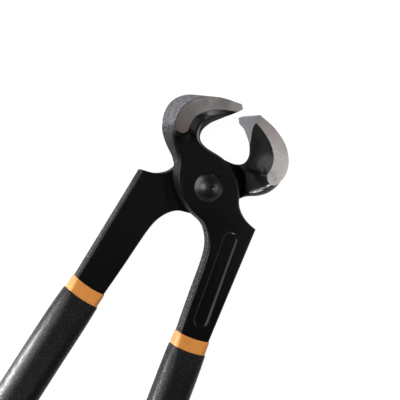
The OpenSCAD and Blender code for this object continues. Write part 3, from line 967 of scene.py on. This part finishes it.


# %% [markdown]
# ## Black lacquered forging
#
# The halves are drop forged from tool steel and coated with a thin, slightly dusty lacquer:
# nearly black from above, with a soft sheen at a low angle. The walls where the flash was
# trimmed stay greyer and coarser, and a belt took the lacquer off the jaw's back in patches.
# Some grey is painted light: the neck's wall beside the rivet is painted lighter as a
# highlight, and the throat's slopes and one wall of the sunk panel get a painted sheen.
# A painted picture could show this, but two noises, mixed by the numbers stored on the mesh,
# need no unwrapping and stay sharp close up: a grain of two thirds of a millimetre, coarser
# than the real one so that it still shows, and patches of two. A Bevel node rounds the edges.

# %% Colours of the lacquered steel
forged_black, add = material("drop_forged_steel_black_lacquered")
spot = add("TexCoord").outputs["Object"]
linished, trimmed_walls_and_painted_highlight, painted_sheen, panel, upright, scaly = (
    add("Attribute", attribute_name=name).outputs["Fac"]
    for name in ("linished", "trimmed_walls_and_painted_highlight", "painted_sheen", "panel_wall", "upright", "scaly")
)
grain = add("TexNoise", {"Vector": spot, "Scale": 1500.0, "Detail": 3.0, "Roughness": 0.65})
mottle = add("TexNoise", {"Vector": spot, "Scale": 520.0, "Detail": 5.0, "Roughness": 0.7})
worn = add("Math", {0: linished, 1: trimmed_walls_and_painted_highlight}, operation="MULTIPLY")
worn = add("Math", {0: worn, 1: mottle}, operation="MULTIPLY")
worn = add("MapRange", {"Value": worn, "From Min": 0.4, "From Max": 0.52})
# Painted sheen: the throat's slopes and one wall of the sunk panel get the same lighter grey,
# for the light that they reflect.
painted_sheen = add("Math", {0: painted_sheen, 1: panel}, operation="MAXIMUM")
lacquer = add("ValToRGB", {"Fac": grain})
stops(lacquer, (0.35, "#030304"), (0.62, "#060608"), (0.7, "#26262b"))
wall = add("ValToRGB", {"Fac": grain})
stops(wall, (0.4, "#101011"), (0.58, "#4c4c50"), (0.7, "#b8b8bc"))
tone = lacquer.outputs["Color"]
# Trimmed walls take the flecked grey, which on the neck beside the rivet is a painted
# highlight; the painted sheen takes a flat mid grey.
for share, colour in (
    (trimmed_walls_and_painted_highlight, wall.outputs["Color"]), (worn, linear("#78787c")), (painted_sheen, linear("#424246")),
):
    tone = add("Mix", {0: share, 6: tone, 7: colour}, data_type="RGBA").outputs[2]
print("colours of", forged_black.name, "in", len(forged_black.node_tree.nodes), "nodes")

# %% Sheen and skin of the lacquered steel
rough = add("MapRange", {"Value": mottle, "To Min": 0.26, "To Max": 0.38})
for coarse_face, more in ((scaly, 0.42), (upright, 0.4)):
    rough = add("Math", {0: coarse_face, 1: more, 2: rough}, operation="MULTIPLY_ADD")
depth = add("MapRange", {"Value": upright, "To Min": 0.1, "To Max": 1.0})
skin = add("Bump", {"Height": grain, "Strength": depth, "Distance": 0.0003})
soft_edge = add("Bevel", {"Radius": 0.00025, "Normal": skin}, samples=4)
shader = add("BsdfPrincipled", {
    "Base Color": tone, "Roughness": rough, "IOR": 1.45, "Specular IOR Level": 0.32,
    "Normal": soft_edge,
})
add("OutputMaterial", {"Surface": shader})

# %% [markdown]
# ## Ground steel of the jaws
#
# A wheel leaves fine straight lines about a tenth of a millimetre apart in the bare steel, and
# a cloudy sheen. The lines could be cut into the mesh, but a noise stretched along them reads
# the same; it is drawn four times as coarse, so that it still shows. A painted reflection makes
# the lower end of the front jaw's side and the tip of the rear one browner and darker.

# %% Ground steel
ground_steel, add = material("tool_steel_wheel_ground")
spot = add("TexCoord").outputs["Object"]
painted_brown_reflection = add("Attribute", attribute_name="painted_brown_reflection").outputs["Fac"]
stretched = add("Mapping", {
    "Vector": spot, "Rotation": (0, 0, 0.35), "Scale": (300.0, 2400.0, 2400.0),
})
lines = add("TexNoise", {"Vector": stretched, "Scale": 1.0, "Detail": 3.0, "Roughness": 0.6})
clouds = add("TexNoise", {"Vector": spot, "Scale": 160.0, "Detail": 3.0})
cloudy = add("MapRange", {
    "Value": clouds, "From Min": 0.3, "From Max": 0.7, "To Min": 0.24, "To Max": 0.5,
})
shade = add("ValToRGB", {"Fac": lines})
stops(shade, (0.25, "#c0bbb9"), (0.75, "#dad5d2"))
# Painted reflection: the steel turns browner and darker towards the lower end of the front
# jaw's side and at the rear jaw's tip.
brown = add("Math", {0: painted_brown_reflection, 1: clouds}, operation="MULTIPLY")
brown = add("Math", {0: brown, 1: 1.5}, operation="MULTIPLY", use_clamp=True)
steel = add("Mix", {0: brown, 6: shade, 7: linear("#8c7a76")}, data_type="RGBA")
scratch = add("Bump", {"Height": lines, "Strength": 0.12, "Distance": 0.0001})
shader = add("BsdfPrincipled", {
    "Base Color": steel.outputs[2], "Metallic": 1.0, "Roughness": cloudy, "Normal": scratch,
})
add("OutputMaterial", {"Surface": shader})

# %% [markdown]
# ## Cutting bevel
#
# The bevel inside the cutting edge is a darker and bluer grey than the sides. It could be their
# steel with a tint, but its wheel lines run along the edge, so it has a finish of its own.

# %% Wiped steel
bevel_steel, add = material("tool_steel_ground_bevel")
spot = add("TexCoord").outputs["Object"]
stretched = add("Mapping", {"Vector": spot, "Scale": (2400.0, 2400.0, 300.0)})
lines = add("TexNoise", {"Vector": stretched, "Scale": 1.0, "Detail": 3.0})
shade = add("ValToRGB", {"Fac": lines})
stops(shade, (0.3, "#77767c"), (0.7, "#8d8c93"))
shader = add("BsdfPrincipled", {"Base Color": shade, "Metallic": 1.0, "Roughness": 0.45})
add("OutputMaterial", {"Surface": shader})

# %% [markdown]
# ## Rivet steel
#
# The rivet's heads were formed cold in smooth dies and lacquered with the halves, so they are
# glossier than the forging, with about twice its specular level. Shallow pits, a millimetre
# across, keep the highlight soft and a little uneven.

# %% Lacquered rivet
rivet_black, add = material("rivet_steel_cold_headed_black_lacquered")
spot = add("TexCoord").outputs["Object"]
pits = add("TexNoise", {"Vector": spot, "Scale": 900.0, "Detail": 2.0})
rough = add("MapRange", {"Value": pits, "To Min": 0.3, "To Max": 0.42})
skin = add("Bump", {"Height": pits, "Strength": 0.25, "Distance": 0.0002})
shader = add("BsdfPrincipled", {
    "Base Color": linear("#070708"), "Roughness": rough, "IOR": 1.5,
    "Specular IOR Level": 0.68, "Normal": skin,
})
add("OutputMaterial", {"Surface": shader})

# %% [markdown]
# ## Orange dip
#
# Plastisol is a paste of PVC that sets in the oven into a rubbery skin. The inner one is smooth
# and glossy with a slow ripple three millimetres long, and a little light enters it, which a
# small subsurface weight gives at much less cost than a true volume.

# %% Orange PVC
orange_dip, add = material("pvc_plastisol_dipped_orange")
spot = add("TexCoord").outputs["Object"]
ripple = add("TexNoise", {"Vector": spot, "Scale": 350.0, "Detail": 2.0})
tone = add("ValToRGB", {"Fac": ripple})
stops(tone, (0.35, "#ea984a"), (0.65, "#f3a250"))
wave = add("Bump", {"Height": ripple, "Strength": 0.05, "Distance": 0.0003})
shader = add("BsdfPrincipled", {
    "Base Color": tone, "Roughness": 0.3, "IOR": 1.53, "Normal": wave,
    "Subsurface Weight": 0.08, "Subsurface Scale": 0.001,
})
add("OutputMaterial", {"Surface": shader})

# %% [markdown]
# ## Black dip with a sandy skin
#
# The outer layer is the same PVC, filled so that it dries with a grain like fine sandpaper:
# matt black hollows and shinier peaks. Displaced geometry would cost millions of faces, so one
# noise drives the colour, the sheen and a bump together; the peaks' grey colour is partly their
# own tone and partly painted glints. It is drawn about twice as coarse as the real grain, so
# that it still shows.

# %% Black sandy PVC
black_dip, add = material("pvc_plastisol_dipped_black_sand_grain")
spot = add("TexCoord").outputs["Object"]
sand = add("TexNoise", {"Vector": spot, "Scale": 1500.0, "Detail": 1.0})
# The grey of the grain's peaks is partly their own tone and partly painted glints.
grain_and_painted_glints = add("ValToRGB", {"Fac": sand})
stops(grain_and_painted_glints, (0.54, "#010102"), (0.7, "#2c2c30"))
shine = add("MapRange", {
    "Value": sand, "From Min": 0.4, "From Max": 0.6, "To Min": 0.66, "To Max": 0.4,
})
grit = add("Bump", {"Height": sand, "Strength": 0.25, "Distance": 0.0003})
shader = add("BsdfPrincipled", {
    "Base Color": grain_and_painted_glints, "Roughness": shine, "IOR": 1.5, "Specular IOR Level": 0.36,
    "Normal": grit,
})
add("OutputMaterial", {"Surface": shader})

# %% Finishes on the pieces
for pieces, finishes in (
    ([front_forging, rear_forging], [forged_black, ground_steel, bevel_steel]),
    ([domed_rivet], [rivet_black]),
    ([front_inner_dip, rear_inner_dip], [orange_dip]),
    ([front_outer_dip, rear_outer_dip], [black_dip]),
):
    for piece in pieces:
        for finish in finishes:
            piece.data.materials.append(finish)
        print(piece.name, "wears", len(finishes), "finishes")

# %% [markdown]
# ## Floor
#
# The tool lies on a white sheet. The camera must see the sheet as white, so for camera, glossy
# and transmission rays it mixes a plain white glow with its real, shadowed colour. For all
# other rays it is only a matt white sheet, so that the glow never lights the tool.

# %% White sheet
reach, glow_share, glow_level = 1.5, 0.85, 1.14
sheet_mesh = bpy.data.meshes.new("white_sheet")
sheet_corners = reach * np.array([[-1, -1, 0], [1, -1, 0], [1, 1, 0], [-1, 1, 0]])
sheet_mesh.from_pydata(sheet_corners.tolist(), [], [(0, 1, 2, 3)])
white_sheet = into_scene("white_sheet", sheet_mesh)
sheet_finish, add = material("matt_white_sheet")
rays = add("LightPath").outputs
seen = rays["Is Camera Ray"]
for other in ("Is Glossy Ray", "Is Transmission Ray"):
    seen = add("Math", {0: seen, 1: rays[other]}, operation="MAXIMUM")
share = add("Math", {0: seen, 1: glow_share}, operation="MULTIPLY")
matt = add("BsdfDiffuse", {"Color": (0.9, 0.9, 0.9, 1)})
glow = add("Emission", {"Color": (1, 1, 1, 1), "Strength": glow_level})
both = add("MixShader", {0: share, 1: matt, 2: glow})
add("OutputMaterial", {"Surface": both})
sheet_mesh.materials.append(sheet_finish)

# %% [markdown]
# ## World and lamps
#
# Round the table the world is a pale grey low down and nearly black overhead, so that upright
# walls catch a soft light and level faces stay dark. Softboxes give the rest: the left one
# draws the long highlights, the upper one lights the faces, and the right and top ones lift
# what these two leave black. Three small lamps stand close by with narrow beams, each for one
# gleam: the front jaw's flank, the rear jaw's belly and the front handle's end. A broad lamp
# in the same place would grey everything round it.

# %% World: pale low down, dark ceiling
world = bpy.data.worlds.new("studio")
world.use_nodes = True
world.node_tree.nodes.clear()
add = partial(add_node, world.node_tree)
way_up = add("SeparateXYZ", {0: add("TexCoord").outputs["Generated"]})
level = add("ValToRGB", {"Fac": way_up.outputs["Z"]})
for element, place, grey in zip(level.color_ramp.elements, (0.03, 0.4), (0.4, 0.05)):
    element.position, element.color = place, (grey, grey, grey, 1)
sky = add("Background", {"Color": level, "Strength": 1.0})
add("OutputWorld", {"Surface": sky})
bpy.context.scene.world = world
print("made the world", world.name)


# %% Softboxes
def stand(thing, axes, point):
    """Stands an object at a point in metres, its own x, y and z along the three axes."""
    place = np.eye(4)
    place[:3, :3], place[:3, 3] = np.transpose(axes), point
    thing.matrix_world = Matrix(place.tolist())


def softbox(name, azimuth, elevation, distance, width, height, power, target=pivot, spread=180):
    """Rectangular area lamp aimed at target, a point in millimetres. Azimuth is anticlockwise
    from +X as the tool is seen from above, elevation is up from the table, and spread is the
    angle of the beam, all in degrees. Away = (cos e cos a, cos e sin a, sin e)."""
    lamp = bpy.data.lights.new(name, "AREA")
    lamp.shape, lamp.size, lamp.size_y, lamp.energy = "RECTANGLE", width, height, power
    lamp.spread = np.radians(spread)
    a, e = np.radians([azimuth, elevation])
    away = np.array([np.cos(e) * np.cos(a), np.cos(e) * np.sin(a), np.sin(e)])
    across = np.cross([0, 0, 1], away)
    across /= np.linalg.norm(across)
    box = into_scene(name, lamp)
    stand(box, [across, np.cross(away, across), away], target * MM + away * distance)
    box.visible_camera = False
    print(name, power, "W at", distance, "m")


flank_mid = in_front(np.array([-12.0, 28, 9]))
belly_mid = behind(np.array([-33.0, 9, -6]))
grip_end = in_front(np.array([-42.0, -135, 0]))
# Name, azimuth, elevation, distance, width, height in metres, watts, target and spread.
softbox("left_softbox", 180, 14, 0.5, 0.75, 0.2, 2.0)
softbox("upper_softbox", 195, 52, 0.6, 0.3, 0.3, 1.7)
softbox("right_softbox", 22, 42, 0.28, 0.16, 0.14, 0.165)
softbox("top_softbox", 40, 80, 0.4, 0.1, 0.1, 0.013)
softbox("flank_softbox", 330, 17, 0.1, 0.024, 0.016, 0.0002, flank_mid, 6)
softbox("belly_softbox", 288, 12, 0.12, 0.036, 0.026, 0.0036, belly_mid, 8)
softbox("handle_softbox", 178, 5, 0.12, 0.1, 0.03, 0.125, grip_end, 34)

# %% [markdown]
# ## Camera
#
# The tool was photographed from above and a little from its left, with the tool's length
# leaning across the frame. Three turns, one after another, bring the frame's axes to the
# camera's: roll about the line of sight, yaw about the picture's upright, then pitch. The
# shift is where the pivot then lies, in millimetres from the camera.

# %% Camera matched to the view
yaw, pitch, roll = np.radians([-17.006, 3.285, -28.056])
shift_in_view = np.array([1.508, 5.294, -397.141])
focal_px, frame_px, sensor = 972.995, 400, 36
cy, cp, cr = np.cos([yaw, pitch, roll])
sy, sp, sr = np.sin([yaw, pitch, roll])
rolled = np.array([[cr, -sr, 0], [sr, cr, 0], [0, 0, 1]])
yawed = np.array([[cy, 0, -sy], [0, 1, 0], [sy, 0, cy]])
pitched = np.array([[1, 0, 0], [0, cp, -sp], [0, sp, cp]])
view = pitched @ yawed @ rolled
eye = view.T @ -shift_in_view + pivot
camera_data = bpy.data.cameras.new("camera")
camera_data.sensor_width = sensor
camera_data.lens = focal_px / frame_px * sensor
camera = into_scene("camera", camera_data)
stand(camera, view, eye * MM)
bpy.context.scene.camera = camera
bpy.context.scene.view_settings.view_transform = "Standard"
print("camera at", eye.round(1), "mm with a lens of", round(camera_data.lens, 2), "mm")
